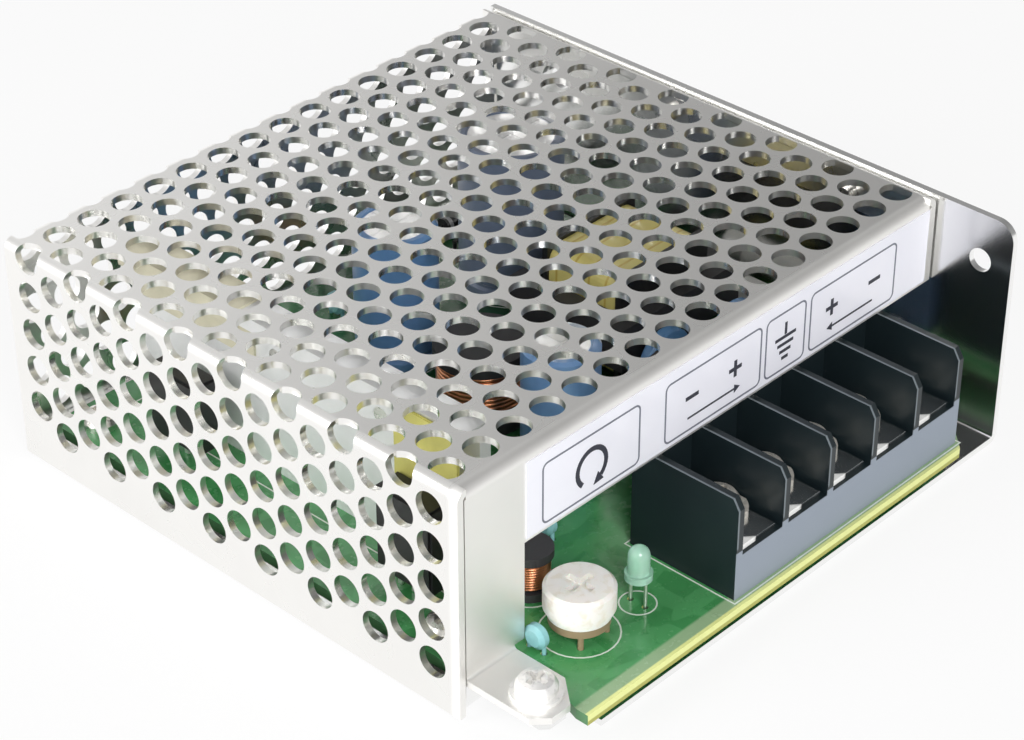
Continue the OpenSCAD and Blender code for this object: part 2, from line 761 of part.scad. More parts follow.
module line_capacitor() color("khaki") {
    place([line_cap_at[0] - 3, line_cap_at[1] - 6.5], board_top + 0.1) cube([6, 13, 12]);
    leads(line_cap_leads, board_top + 0.3);
}

// ---- heat sink and its devices ----

module heat_sink() color("gainsboro") {
    difference() {
        union() {
            block([sink_u, sink_u + sink_t], [sink_v, sink_v + sink_l], [board_top, sink_top]);
            block([sink_u + sink_t - sink_flange_w, sink_u + sink_t], [sink_v, sink_v + sink_l],
                [sink_top - sink_t, sink_top]);
        }
        for (v = [transistor_v, rectifier_v]) place([sink_u - 1, v], device_hole_z) rotate([0, 90, 0])
            cylinder(h = sink_t + 2, r = thread_r);
    }
}

// Insulating sleeve over the back end of the sink's flange
module sink_sleeve() color("cornsilk") {
    v1 = sink_v + sink_l;
    difference() {
        block([sink_u + sink_t - sink_flange_w - sleeve_t, sink_u + sink_t + sleeve_t],
            [v1 - sleeve_l, v1], [sink_top - 9, sink_top + sleeve_t]);
        block([sink_u + sink_t - sink_flange_w, sink_u + sink_t], [v1 - sleeve_l - 1, v1 + 1],
            [sink_top - sink_t, sink_top]);
        block([sink_u, sink_u + sink_t], [v1 - sleeve_l - 1, v1 + 1], [sink_top - 10, sink_top]);
        block([sink_u - sink_flange_w, sink_u - sleeve_t], [v1 - sleeve_l - 1, v1 + 1],
            [sink_top - 10, sink_top - sink_t - sleeve_t]);
        block([sink_u + sink_t - 0.1, sink_u + sink_t + 1], [rectifier_v - 6, rectifier_v + 6],
            [sink_top - 10, sink_top - 2]);
    }
}

// A tab-mounted device against the sink's right face, legs down
module power_device(v) {
    face = sink_u + sink_t;
    body_z = board_top + 6;
    difference() {
        union() {
            block([face, face + 1.3], [v - device_w / 2, v + device_w / 2], [body_z, body_z + 15.6]);
            block([face + 0.4, face + device_t], [v - device_w / 2, v + device_w / 2], [body_z, body_z + 9]);
        }
        place([face - 1, v], device_hole_z) rotate([0, 90, 0]) cylinder(h = 4, r = clear_r);
    }
    for (p = row3(v)) place(p, 0) translate([-0.35, -0.35, board_z - lead_under])
        cube([0.7, 0.7, body_z - board_z + lead_under + 0.5]);
}

module power_transistor() color([0.15, 0.15, 0.15]) power_device(transistor_v);

module output_rectifier() color([0.15, 0.15, 0.15]) power_device(rectifier_v);

module device_screws() color("silver") {
    for (v = [transistor_v, rectifier_v]) place([sink_u + sink_t + 1.3, v], device_hole_z) rotate([0, 90, 0])
        pan_screw(screw_d * 0.93, 2, shank_r, sink_t + 1.3);
}

// ---- line filter, fuse and small parts ----

module line_choke_core() color("dimgray") {
    place(line_choke_at, board_top + 0.2) {
        translate([-5, -6, 0]) cube([10, 12, 1.5]);
        translate([0, 0, 1.5 + 7]) rotate([90, 0, 0]) translate([0, 0, -1.8]) linear_extrude(3.6) difference() {
            circle(6.9);
            circle(3);
        }
    }
    leads(line_choke_leads, board_top + 0.4);
}

module line_choke_winding() color("peru") {
    place(line_choke_at, board_top + 8.7) rotate([90, 0, 0]) for (s = [0, 180]) rotate([0, 0, s - 50])
        rotate_extrude(angle = 100) difference() {
            translate([1.9, -2.9]) square([6, 5.8]);
            translate([2.95, -1.85]) square([4, 3.7]);
        }
}

module thermistor() color("darkolivegreen") {
    place(thermistor_at, board_top + 6) rotate([90, 0, 0]) rotate_extrude()
        polygon([[0, -1.6], [3.4, -1.6], [4, -1], [4, 1], [3.4, 1.6], [0, 1.6]]);
    leads(thermistor_leads, board_top + 3.4);
}

module fuse() color("white") {
    place([fuse_at[0], fuse_at[1] - fuse_l / 2], board_top + 4.2) rotate([-90, 0, 0]) rotate_extrude()
        polygon([[0, 0], [fuse_r, 0], [fuse_r, 5], [fuse_r - 0.15, 5], [fuse_r - 0.15, fuse_l - 5],
            [fuse_r, fuse_l - 5], [fuse_r, fuse_l], [0, fuse_l]]);
}

module fuse_clips() color("silver") {
    for (s = [-1, 1]) place([fuse_at[0], fuse_at[1] + s * (fuse_l - 5) / 2 + 1.8], board_top + 4.2)
        rotate([90, 0, 0]) linear_extrude(3.6) difference() {
            union() {
                circle(fuse_r + 0.4);
                translate([-1.6, -4.2]) square([3.2, 2]);
            }
            circle(fuse_r + 0.02);
            translate([-2.2, 0.4]) square([4.4, 5]);
        }
    leads(fuse_leads, board_top + 0.6, 0.4);
}

// Moulded chip with legs turned down at both sides
module chip(at, l, places) {
    place(at, board_top + 0.6) translate([-3.2, -l / 2, 0]) cube([6.4, l, 3.3]);
    leads(places, board_top + 2.4, 0.25);
    for (p = places) place(p, board_top + 2.2)
        translate([p[0] > at[0] ? -1 : -0.2, -0.25, 0]) cube([1.2, 0.5, 0.4]);
}

module optocoupler() color([0.12, 0.12, 0.12]) chip(opto_at, 4.6, opto_leads);

module control_chip() color([0.12, 0.12, 0.12]) chip(chip_at, 9.4, chip_leads);

// Axial part lying across two leads
module axial(at, span, d, l) {
    z = board_top + d / 2 + 0.2;
    place([at[0] - l / 2, at[1]], z) rotate([0, 90, 0]) cylinder(h = l, d = d);
    place([at[0] - span / 2 - lead_r, at[1]], z) rotate([0, 90, 0]) cylinder(h = span + 2 * lead_r, r = lead_r, $fn = 16);
    leads(pair(at, 0, span), z);
}

module resistors() color("tan") {
    for (r = resistor_at) axial(r, 10, 2.4, 6.4);
}

module diodes() color([0.15, 0.15, 0.15]) {
    for (d = diode_at) axial(d, 9, 2.7, 5.2);
}

chassis();
cover();
label_strip();
cover_screw();
side_screws();
insulating_film();
board_standoffs();
board_screws();
circuit_board();
terminal_block();
terminal_contacts();
clamp_plate(1);  // clamp_plate_1
clamp_plate(2);  // clamp_plate_2
clamp_plate(3);  // clamp_plate_3
clamp_plate(4);  // clamp_plate_4
clamp_plate(5);  // clamp_plate_5
terminal_screw(1);  // terminal_screw_1
terminal_screw(2);  // terminal_screw_2
terminal_screw(3);  // terminal_screw_3
terminal_screw(4);  // terminal_screw_4
terminal_screw(5);  // terminal_screw_5
trimmer_base();
trimmer_cap();
lamp_lens();
lamp_leads();
small_choke_core();
small_choke_winding();
transformer_core();
transformer_bobbin();
transformer_winding();
main_capacitor();
second_capacitor();
output_capacitor();
disc_capacitors();
heat_sink();
sink_sleeve();
power_transistor();
output_rectifier();
device_screws();
output_choke_core();
output_choke_winding();
line_choke_core();
line_choke_winding();
line_capacitor();
fuse();
fuse_clips();
thermistor();
optocoupler();
control_chip();
resistors();
diodes();
ceramic_capacitors();
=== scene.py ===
# %% [markdown]
# # A mesh case switching power supply
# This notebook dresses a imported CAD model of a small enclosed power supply. The CAD holds every piece
# with a real size: the folded chassis, the perforated cover, the board and what stands on it. Blender
# adds the finishes, the print on the label and the board, the wound wire, two devices beside the heat
# sink, and the light that bright metal needs. The frame's lengths are metres. Small sizes are written in
# millimetres, as on a drawing, and multiplied by MM.

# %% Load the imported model
import bpy
import math
from mathutils import Matrix, Vector


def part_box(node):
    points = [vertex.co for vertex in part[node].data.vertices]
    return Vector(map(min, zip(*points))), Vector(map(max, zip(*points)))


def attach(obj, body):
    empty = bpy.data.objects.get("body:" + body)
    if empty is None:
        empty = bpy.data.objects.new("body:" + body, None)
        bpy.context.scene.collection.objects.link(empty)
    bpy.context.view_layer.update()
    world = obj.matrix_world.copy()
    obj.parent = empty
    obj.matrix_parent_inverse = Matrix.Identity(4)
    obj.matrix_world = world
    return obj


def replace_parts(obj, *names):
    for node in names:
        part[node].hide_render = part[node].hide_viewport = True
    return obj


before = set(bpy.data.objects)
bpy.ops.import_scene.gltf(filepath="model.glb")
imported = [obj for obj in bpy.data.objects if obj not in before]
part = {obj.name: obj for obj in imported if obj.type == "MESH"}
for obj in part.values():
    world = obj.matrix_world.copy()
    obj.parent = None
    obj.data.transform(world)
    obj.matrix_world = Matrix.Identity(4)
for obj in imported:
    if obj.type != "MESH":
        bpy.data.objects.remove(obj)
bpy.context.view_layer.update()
MM = 0.001


def box_mm(name):
    """The low and high corners of a CAD node at rest, in millimetres."""
    return [[length / MM for length in corner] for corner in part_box(name)]


# %% [markdown]
# ## Sums on shader sockets
# A finish is a small program: a noise here, a mask there, a few sums between them. One function adds any
# node, and one class wraps a socket so that Python's own operators add the Math nodes. The reflected
# forms are there too, so that 1 - mask reads as it should.

# %% A socket that can be used in sums
def feed(tree, slot, value):
    """Puts a number, a colour or another socket's signal on an input."""
    if isinstance(value, Signal):
        tree.links.new(value.socket, slot)
    elif hasattr(value, "__len__") and len(slot.default_value) > len(value):
        slot.default_value = (*value, 1.0)
    else:
        slot.default_value = value


def add_node(tree, kind, settings=None, values=None, output=0):
    """Any node: its type, its settings, then the values or signals of its sockets."""
    node = tree.nodes.new(kind)
    for words, value in (settings or {}).items():
        setattr(node, words, value)
    for words, value in (values or {}).items():
        feed(tree, node.inputs[words], value)
    return Signal(tree, node.outputs[output])


class Signal:
    """One node output. A sum on it adds one Math node and gives that node's output."""

    def __init__(self, tree, socket):
        self.tree, self.socket = tree, socket

    def math(self, operation, *values):
        return add_node(self.tree, "ShaderNodeMath", {"operation": operation}, dict(enumerate(values)))

    def __add__(self, other):
        return self.math("ADD", self, other)

    def __sub__(self, other):
        return self.math("SUBTRACT", self, other)

    def __rsub__(self, other):
        return self.math("SUBTRACT", other, self)

    def __mul__(self, other):
        return self.math("MULTIPLY", self, other)

    def __truediv__(self, other):
        return self.math("DIVIDE", self, other)

    def __pow__(self, other):
        return self.math("POWER", self, other)

    __radd__, __rmul__ = __add__, __mul__

    def larger(self, other):
        return self.math("MAXIMUM", self, other)

    def smaller(self, other):
        return self.math("MINIMUM", self, other)

    def size(self):
        """The distance from 0, whatever the sign."""
        return self.math("ABSOLUTE", self)

    def repeat(self):
        """The part after the whole number, so that a pattern starts again at each whole number."""
        return self.math("FRACT", self)

    def above(self, edge, soft):
        """0 below the edge and 1 above it, over a soft width."""
        values = (self, edge - soft / 2, edge + soft / 2, 0.0, 1.0)
        settings = {"interpolation_type": "SMOOTHSTEP"}
        return add_node(self.tree, "ShaderNodeMapRange", settings, dict(enumerate(values)))

    def within(self, low, high, soft):
        """1 between two edges and 0 outside them."""
        return self.above(low, soft) * (1 - self.above(high, soft))

# %% [markdown]
# ## One way to make a finish
# Each finish starts as a Principled shader with plain values. Numbers that are the same all over the
# surface stay on the shader's own sockets. What varies comes through nodes, and positions are in
# millimetres on the object itself, so a grain of 0.2 mm is written as 0.2.

# %% A finish and the nodes behind it
class Tree:
    """A node tree and the methods that add nodes to it."""

    def __init__(self, tree):
        self.tree = tree

    def add(self, kind, settings=None, values=None, output=0):
        return add_node(self.tree, kind, settings, values, output)

    def vector(self, operation, *values, **named):
        inputs = {**dict(enumerate(values)), **named}
        return self.add("ShaderNodeVectorMath", {"operation": operation}, inputs)

    def parts(self, vector):
        """The three parts of a vector, as signals."""
        return [self.add("ShaderNodeSeparateXYZ", {}, {0: vector}, i) for i in range(3)]

    def rays(self):
        """Signals that are 1 for camera rays, for glossy rays and for transmission rays."""
        words = ("Is Camera Ray", "Is Glossy Ray", "Is Transmission Ray")
        return [self.add("ShaderNodeLightPath", output=word) for word in words]


class Finish(Tree):
    """A material with helpers for its grain, its masks and its relief."""

    def __init__(self, name, colour, roughness=0.5, metallic=0.0, **constants):
        self.material = bpy.data.materials.new(name)
        self.material.use_nodes = True
        self.tree = self.material.node_tree
        self.shader = self.tree.nodes["Principled BSDF"]
        self.give("Base Color", colour).give("Roughness", roughness).give("Metallic", metallic)
        for words, value in constants.items():
            self.give(words.replace("_", " ").title().replace("Ior", "IOR"), value)
        metres = self.add("ShaderNodeTexCoord", output="Object")
        self.mm = self.vector("SCALE", metres, Scale=1 / MM)
        self.x, self.y, self.z = self.parts(self.mm)

    def give(self, socket, value):
        feed(self.tree, self.shader.inputs[socket], value)
        return self

    def noise(self, grain, detail=2.0, stretch=(1, 1, 1), shift=0.0):
        """Noise whose lumps are about `grain` millimetres, drawn out along an axis by `stretch`."""
        scaled = self.vector("MULTIPLY", self.mm, [1 / grain / s for s in stretch])
        moved = self.vector("ADD", scaled, [shift] * 3)
        return self.add("ShaderNodeTexNoise", {}, {"Vector": moved, "Scale": 1.0, "Detail": detail})

    def blend(self, mask, first, second):
        """The first colour where the mask is 0 and the second where it is 1."""
        return self.add("ShaderNodeMix", {"data_type": "RGBA"}, {0: mask, 6: first, 7: second}, output=2)

    def bump(self, height, depth, strength=1.0):
        """Relief of `depth` millimetres on the Normal socket."""
        values = {"Height": height, "Distance": depth * MM, "Strength": strength}
        return self.give("Normal", self.add("ShaderNodeBump", {}, values))

    def facing(self):
        """The surface's own direction, as three signals."""
        return self.parts(self.add("ShaderNodeTexCoord", output="Normal"))


def shade(colour, factor):
    """A darker or lighter tone of a colour, no brighter than white."""
    return [min(1.0, c * factor) for c in colour]


def paint(finish, *names):
    """Gives CAD nodes, by name, one finish in every material slot."""
    for name in names:
        for holder in part[name].material_slots:
            holder.material = finish.material

# %% [markdown]
# ## Bright sheet metal
# The case is thin plated sheet, rolled bright. It mirrors softly, with a faint grain along the rolling
# direction, and it is never quite even: handling leaves patches that are a little duller. A metal has no
# colour of its own to speak of, so its look is nearly all roughness and what stands round it. The cover's
# front and tab are duller than the rest, where fingers and the label's backing have rubbed them.

# %% The sheet of the cover and the chassis
rolling = {"grain": 0.25, "detail": 2, "stretch": (60, 1, 1)}


def sheet_metal(name, tint, roughness):
    metal = Finish(name, tint, roughness, 1.0)
    metal.give("Base Color", metal.blend(metal.noise(14, 3), shade(tint, 0.94), shade(tint, 1.05)))
    metal.bump(metal.noise(**rolling) * 0.6 + metal.noise(9, 1) * 3, 0.012, 0.6)
    return metal


cover_sheet = sheet_metal("cover_sheet", (0.92, 0.91, 0.885), 0.27)
label_back = box_mm("label_strip")[1][1]
cover_front = 1 - cover_sheet.y.above(label_back + 1.6, 0.8)
cover_sheet.give("Roughness", 0.24 + cover_sheet.noise(9, 3) * 0.08 + cover_front * 0.24)
chassis_sheet = sheet_metal("chassis_sheet", (0.88, 0.88, 0.87), 0.15)
worn_patches, brushing = chassis_sheet.noise(14, 3), chassis_sheet.noise(**rolling)
chassis_sheet.give("Roughness", 0.10 + worn_patches * 0.08 + brushing * 0.05)
paint(cover_sheet, "cover")
paint(chassis_sheet, "chassis")
print("sheet metal on cover and chassis, back of the label at", round(label_back, 2), "mm")

# %% [markdown]
# ## Small plated parts
# Nickel-plated screws and standoffs are warmer than tin. They hold a little dirt, so the finish darkens
# where a noise says so. The tin on the fuse clips and the leads is whiter and softer.

# %% Nickel and tin
def plated(name, tint, roughness, dirt=0.0, metallic=1.0):
    """Plating with an uneven gloss, darker by `dirt` where its noise is high."""
    metal = Finish(name, tint, roughness, metallic)
    patch = metal.noise(0.8, 3)
    if dirt:
        metal.give("Base Color", metal.blend(patch.above(0.62, 0.2) * dirt, tint, shade(tint, 0.35)))
    metal.give("Roughness", roughness + patch * 0.12)
    return metal.bump(metal.noise(0.12, 2), 0.006, 0.5)


nickel = plated("nickel_plate", (0.90, 0.88, 0.84), 0.22, dirt=0.25)
tin = plated("tinned_metal", (0.90, 0.89, 0.87), 0.30, dirt=0.12)
nickel_parts = ["side_screws", "board_screws", "device_screws", "board_standoffs"]
tin_parts = ["lamp_leads", "fuse_clips"]
paint(nickel, *nickel_parts)
paint(tin, *tin_parts)
print("plating on", len(nickel_parts) + len(tin_parts), "nodes")

# %% [markdown]
# ## The terminal screws
# A terminal screw carries thick pale plating with a chalky bloom, so it isn't a full mirror. Its cross
# recess is painted near black as shade, and grime stains lie where a noise says so. The five screws differ
# only by the pitch of the ways, so one mask in the distance from the nearest screw's axis paints shade into
# all five recesses. The cover's own screw has a similar plating.

# %% Chalky plating with painted shade in the recesses
ways = range(1, 6)
screw_low, screw_high = box_mm("terminal_screw_1")
way_pitch = box_mm("terminal_screw_2")[0][0] - screw_low[0]
axis_x, axis_y = ((screw_low[i] + screw_high[i]) / 2 for i in range(2))
recess_top, recess_radius = screw_high[2] - 0.25, 1.75
pale_plating, grime_and_recess_shade = (0.93, 0.89, 0.81), (0.10, 0.09, 0.075)
zinc = plated("pale_zinc", pale_plating, 0.3, metallic=0.62)
from_axis_x = (((zinc.x - (axis_x - way_pitch / 2)) / way_pitch).repeat() - 0.5) * way_pitch
from_axis_y = zinc.y - axis_y
away = (from_axis_x * from_axis_x + from_axis_y * from_axis_y) ** 0.5
recess = (1 - away.above(recess_radius, 0.2)) * (1 - zinc.z.above(recess_top, 0.2))
stains = zinc.noise(0.9, 3).above(0.6, 0.2) * 0.25
# The recesses are painted dark as shade. The noise stains are grime.
zinc.give("Base Color", zinc.blend((recess * 0.9).larger(stains), pale_plating, grime_and_recess_shade))
paint(zinc, *[f"terminal_screw_{n}" for n in ways], *[f"clamp_plate_{n}" for n in ways])
cover_zinc = plated("cover_zinc", (0.94, 0.93, 0.91), 0.32, dirt=0.3, metallic=0.6)
paint(cover_zinc, "cover_screw")
print("ways", round(way_pitch, 2), "mm apart, recess below", round(recess_top, 2), "mm")

# %% [markdown]
# ## The terminal block
# The block is black thermoplastic with a trace of green-blue. Its barriers come out of polished mould
# walls, while the front face under the ledge has a fine spark-eroded grain that makes it rougher, and it is
# painted a lighter grey as light falling on it from the front.
# Along one edge of each barrier a thin pale line is painted on the arris as a highlight: a mask that
# repeats with the pitch of the ways.

# %% Black moulding with a rough front face painted lighter as lit
block_low = box_mm("terminal_block")[0]
ledge_height = box_mm("terminal_contacts")[1][2]
black, front_painted_light_grey, arris_highlight_grey = (0.010, 0.017, 0.020), (0.29, 0.33, 0.39), (0.17, 0.20, 0.22)
block = Finish("block_plastic", black, 0.3, specular_ior_level=0.3)
block_front = (1 - block.y.above(block_low[1] + 0.08, 0.1)) * (1 - block.z.above(ledge_height, 0.2))
_, block_facing_y, block_facing_z = block.facing()
lip = block_facing_z.above(0.5, 0.2) + (1 - block_facing_y.above(-0.3, 0.3))
left_edge = ((block.x - block_low[0]) / way_pitch).repeat().within(-1, 0.3 / way_pitch, 0.02)
arris = left_edge * lip * (1 - block_front) * block.z.above(ledge_height + 0.6, 0.5)
# The front face's lighter grey is painted light from the front.
skin_with_lit_front = block.blend(block_front, black, front_painted_light_grey)
# The pale line on each barrier's arris is a painted highlight.
block.give("Base Color", block.blend(arris.smaller(1.0), skin_with_lit_front, arris_highlight_grey))
block.give("Roughness", 0.3 + block.noise(3, 3) * 0.1 + block_front * 0.3)
block.bump(block.noise(0.18, 2), 0.01, 0.5)
paint(block, "terminal_block")
print("block front at", round(block_low[1], 2), "mm, ledge at", round(ledge_height, 2), "mm")

# %% [markdown]
# ## The contacts in the block
# Each bay has a bright plate on its floor. It is polished, so it mostly mirrors the black barriers and
# looks dark. At the front left of each bay, the plate's corner has a pale, dull patch painted on as a
# highlight. The patch is a slanted mask that repeats with the ways.

# %% Polished plates with a painted highlight on a corner
contact_low = box_mm("terminal_contacts")[0]
polished, corner_highlight_white = (0.80, 0.80, 0.79), (0.96, 0.96, 0.94)
highlight_across, highlight_along = 2.7, 2.4
contact = Finish("contact_plate", polished, 0.12, 1.0)
bay_place = ((contact.x - contact_low[0]) / way_pitch).repeat() * way_pitch
into_bay = bay_place / highlight_across + (contact.y - contact_low[1]) / highlight_along
# The pale, dull corner patch is a painted highlight.
corner_highlight = 1 - into_bay.above(0.95, 0.25)
contact.give("Base Color", contact.blend(corner_highlight, polished, corner_highlight_white))
contact.give("Metallic", 1 - corner_highlight)
contact.give("Roughness", 0.12 + corner_highlight * 0.5 + contact.noise(1.5, 2) * 0.1)
contact.bump(contact.noise(0.12, 2), 0.006, 0.5)
paint(contact, "terminal_contacts")
print("contact plates from", round(contact_low[0], 2), "mm")

# %% [markdown]
# ## The circuit board
# Green lacquer covers glass laminate. The lacquer is glossy and a little uneven, with copper tracks that
# show as slightly lighter bands. Toward the mains side, inside the case, it is painted much darker as
# shade. The lacquer stops short of the front edge, and the sawn edge shows the bare laminate, with a
# painted yellow highlight along its top corner and painted olive shade below. The other three edges are
# routed, and green all through.

# %% Green board with a bare edge, painted highlight and painted shade
board_low, board_high = box_mm("circuit_board")
board_top, board_front = board_high[2], board_low[1]
mask_green, track_green, patch_green = (0.055, 0.27, 0.085), (0.085, 0.34, 0.12), (0.04, 0.22, 0.06)
interior_shade_green, bare_green = (0.012, 0.05, 0.022), (0.34, 0.48, 0.28)
edge_highlight_yellow, edge_shade_olive, edge_green = (0.80, 0.84, 0.33), (0.42, 0.42, 0.09), (0.07, 0.20, 0.08)
board = Finish("board_lacquer", mask_green, 0.22, coat_weight=0.3, coat_roughness=0.1)
tracks_along = board.noise(2.6, 0.0, stretch=(3, 1, 1)).above(0.52, 0.04)
tracks_across = board.noise(2.4, 0.0, stretch=(1, 3, 1), shift=7).above(0.56, 0.04)
tracks = tracks_along.larger(tracks_across)
# The mains side inside the case is painted much darker as shade.
shaded_mains_side = board.x.above(-2, 22) * board.y.above(-7, 10)
bare = 1 - board.y.above(board_front + 2.3, 0.5)
# The front rim of the top is painted yellow as a highlight.
rim_highlight = 1 - board.y.above(board_front + 0.5, 0.2)
top = board.blend(tracks, mask_green, track_green)
for mask, tone in ((board.noise(5, 3) * 0.5, patch_green), (shaded_mains_side * 0.8, interior_shade_green),
                   (bare * 0.85, bare_green), (rim_highlight, edge_highlight_yellow)):
    top = board.blend(mask, top, tone)
_, board_facing_y, board_facing_z = board.facing()
side = 1 - board_facing_z.size().above(0.5, 0.4)
# The edge's yellow top is a painted highlight, and its olive lower part is painted shade.
edge = board.blend(board.z.above(board_top - 0.95, 0.25), edge_shade_olive, edge_highlight_yellow)
edge = board.blend(board_facing_y.above(-0.5, 0.4), edge, edge_green)
board.give("Base Color", board.blend(side, top, edge))
board.give("Roughness", 0.2 + side * 0.4 + board.noise(1.2, 2) * 0.12)
board.bump(tracks * 0.5 + board.noise(0.5, 2) * side, 0.03, 0.5)
paint(board, "circuit_board")
print("board top at", round(board_top, 2), "mm, front edge at", round(board_front, 2), "mm")

# %% [markdown]
# ## Moulded and dipped parts
# Most of what is inside shows only as colour through the holes: dark cores and moulded devices, blue
# capacitors, a pale fuse. A small table names each with its colour, its gloss and its nodes, and one
# function gives them all the slight unevenness of a moulded or dipped surface.

# %% One finish for each moulding or dip
def moulded(name, colour, roughness, grain=0.5, depth=0.02):
    uneven = 0.18
    finish = Finish(name, colour, roughness)
    cloud = finish.noise(grain * 6, 3)
    finish.give("Base Color", finish.blend(cloud, shade(colour, 1 - uneven), shade(colour, 1 + uneven)))
    finish.give("Roughness", roughness - 0.06 + cloud * 0.12)
    return finish.bump(finish.noise(grain, 2), depth, 0.5)


cores = ["small_choke_core", "output_choke_core", "line_choke_core", "transformer_core"]
devices = ["power_transistor", "output_rectifier", "optocoupler", "control_chip"]
moulded_parts = {
    "ferrite": ((0.035, 0.034, 0.036), 0.55, cores),
    "bobbin": ((0.012, 0.012, 0.012), 0.45, ["transformer_bobbin"]),
    "black_epoxy": ((0.014, 0.014, 0.015), 0.42, devices),
    "insulating_film": ((0.02, 0.02, 0.022), 0.3, ["insulating_film"]),
    "disc_blue": ((0.14, 0.34, 0.66), 0.3, ["disc_capacitors"]),
    "bead_blue": ((0.25, 0.52, 0.55), 0.25, ["ceramic_capacitors"]),
    "film_box": ((0.05, 0.085, 0.15), 0.35, ["line_capacitor"]),
    "thermistor_green": ((0.05, 0.10, 0.04), 0.5, ["thermistor"]),
    "fuse_ceramic": ((0.78, 0.78, 0.75), 0.4, ["fuse"]),
    "sleeve_cream": ((0.72, 0.68, 0.52), 0.45, ["sink_sleeve"]),
}
moulded_finish = {}
for name, (colour, roughness, nodes) in moulded_parts.items():
    moulded_finish[name] = moulded(name, colour, roughness)
    paint(moulded_finish[name], *nodes)
print(len(moulded_parts), "moulded finishes")

# %% [markdown]
# ## Transformer tape
# Polyester tape is wound on the transformer in layers that overlap. Each lap is a little darker where two
# layers lie on each other, so a ramp that repeats with the tape's lap gives both the colour and the step.

# %% Yellow tape in laps
tape_yellow, tape_amber, tape_lap = (0.86, 0.76, 0.26), (0.70, 0.52, 0.10), 3.1
tape = Finish("yellow_tape", tape_yellow, 0.3, coat_weight=0.3)
layers = (tape.y / tape_lap).repeat()
lap = layers.within(0.0, 0.12, 0.06)
tape.give("Base Color", tape.blend(lap + tape.noise(4, 3) * 0.3, tape_yellow, tape_amber))
tape.bump(layers + tape.noise(1.5, 2) * 0.3, 0.05, 0.6)
paint(tape, "transformer_winding")
print("tape in laps of", tape_lap, "mm")

# %% [markdown]
# ## Capacitor cans
# A capacitor's sleeve is shrunk plastic with a pale stripe down its negative side. It leaves a disc of
# bare aluminium on top, scored with a cross so that the can opens there before it bursts. The masks come
# from the can's own box: the distance from its axis for the disc, and two thin bands for the score.

# %% Sleeves with a stripe and a scored top
def sleeved(name, node, colour, stripe):
    low, high = box_mm(node)
    radius, score_half = (high[0] - low[0]) / 2, 0.15
    can = Finish(name, colour, 0.3, coat_weight=0.25)
    across, along = can.x - (low[0] + high[0]) / 2, can.y - (low[1] + high[1]) / 2
    away = (across * across + along * along) ** 0.5
    bare = can.facing()[2].above(0.8, 0.2) * (1 - away.above(radius - 1.5, 0.15))
    score_x, score_y = (1 - offset.size().above(score_half, 0.12) for offset in (across, along))
    body = can.blend(across.above(radius * 0.72, 0.3) * (1 - bare), colour, stripe)
    body = can.blend(can.noise(3, 2) * 0.3, body, shade(colour, 0.7))
    can.give("Base Color", can.blend(bare, body, (0.80, 0.80, 0.80)))
    can.give("Metallic", bare)
    can.give("Roughness", 0.28 + can.noise(2, 2) * 0.12)
    can.bump(can.noise(1.2, 2) * 0.2 - score_x.larger(score_y) * bare, 0.08, 0.6)
    paint(can, node)
    print(name, "on a can of", round(2 * radius, 1), "mm")


sleeved("grey_sleeve", "main_capacitor", (0.20, 0.25, 0.36), (0.70, 0.72, 0.76))
sleeved("blue_sleeve", "second_capacitor", (0.16, 0.34, 0.66), (0.66, 0.72, 0.80))
sleeved("pale_sleeve", "output_capacitor", (0.20, 0.38, 0.70), (0.74, 0.79, 0.86))

# %% [markdown]
# ## Resistors and diodes
# Resistors carry colour bands, and a diode has one pale ring. The parts lie along X and share a node, so
# each body's start is found in the mesh: a place that has another one just a body's length further on.
# The bands are then measured from each start.

# %% Banded lacquer and ringed epoxy
def banded(name, node, colour, bands, length):
    """Each band is (place from the body's start, width, colour), in millimetres."""
    finish = Finish(name, colour, 0.35)
    body = finish.blend(finish.noise(1.5, 2) * 0.4, colour, shade(colour, 0.7))
    places = sorted({round(float(v.co.x) / MM, 1) for v in part[node].data.vertices})
    starts = [p for p in places if any(abs(p + length - other) < 0.25 for other in places)]
    for start in starts:
        for place, width, ink in bands:
            here = finish.x.within(start + place, start + place + width, 0.05)
            body = finish.blend(here, body, ink)
    finish.give("Base Color", body)
    finish.bump(finish.noise(0.4, 2), 0.02, 0.5)
    paint(finish, node)
    print(name, "bodies start at", starts, "mm")


resistor_inks = [(0.3, 0.02, 0.01), (0.02, 0.02, 0.02), (0.5, 0.2, 0.01), (0.45, 0.32, 0.06)]
resistor_bands = [(1.0 + 1.3 * k, 0.6, ink) for k, ink in enumerate(resistor_inks)]
banded("resistor_lacquer", "resistors", (0.50, 0.33, 0.16), resistor_bands, 6.4)
banded("diode_epoxy", "diodes", (0.014, 0.014, 0.015), [(0.5, 0.7, (0.55, 0.55, 0.55))], 5.2)

# %% [markdown]
# ## Trimmer, lamp and heat sink
# The trimmer's cap is white nylon, slightly milky, with a slot that a screwdriver has scuffed. The lamp
# is a tinted epoxy lens: it lets light through, so it is a glass with a pale green colour and a soft
# surface. The heat sink is rolled aluminium, pale and nearly matt, with its grain along Y.

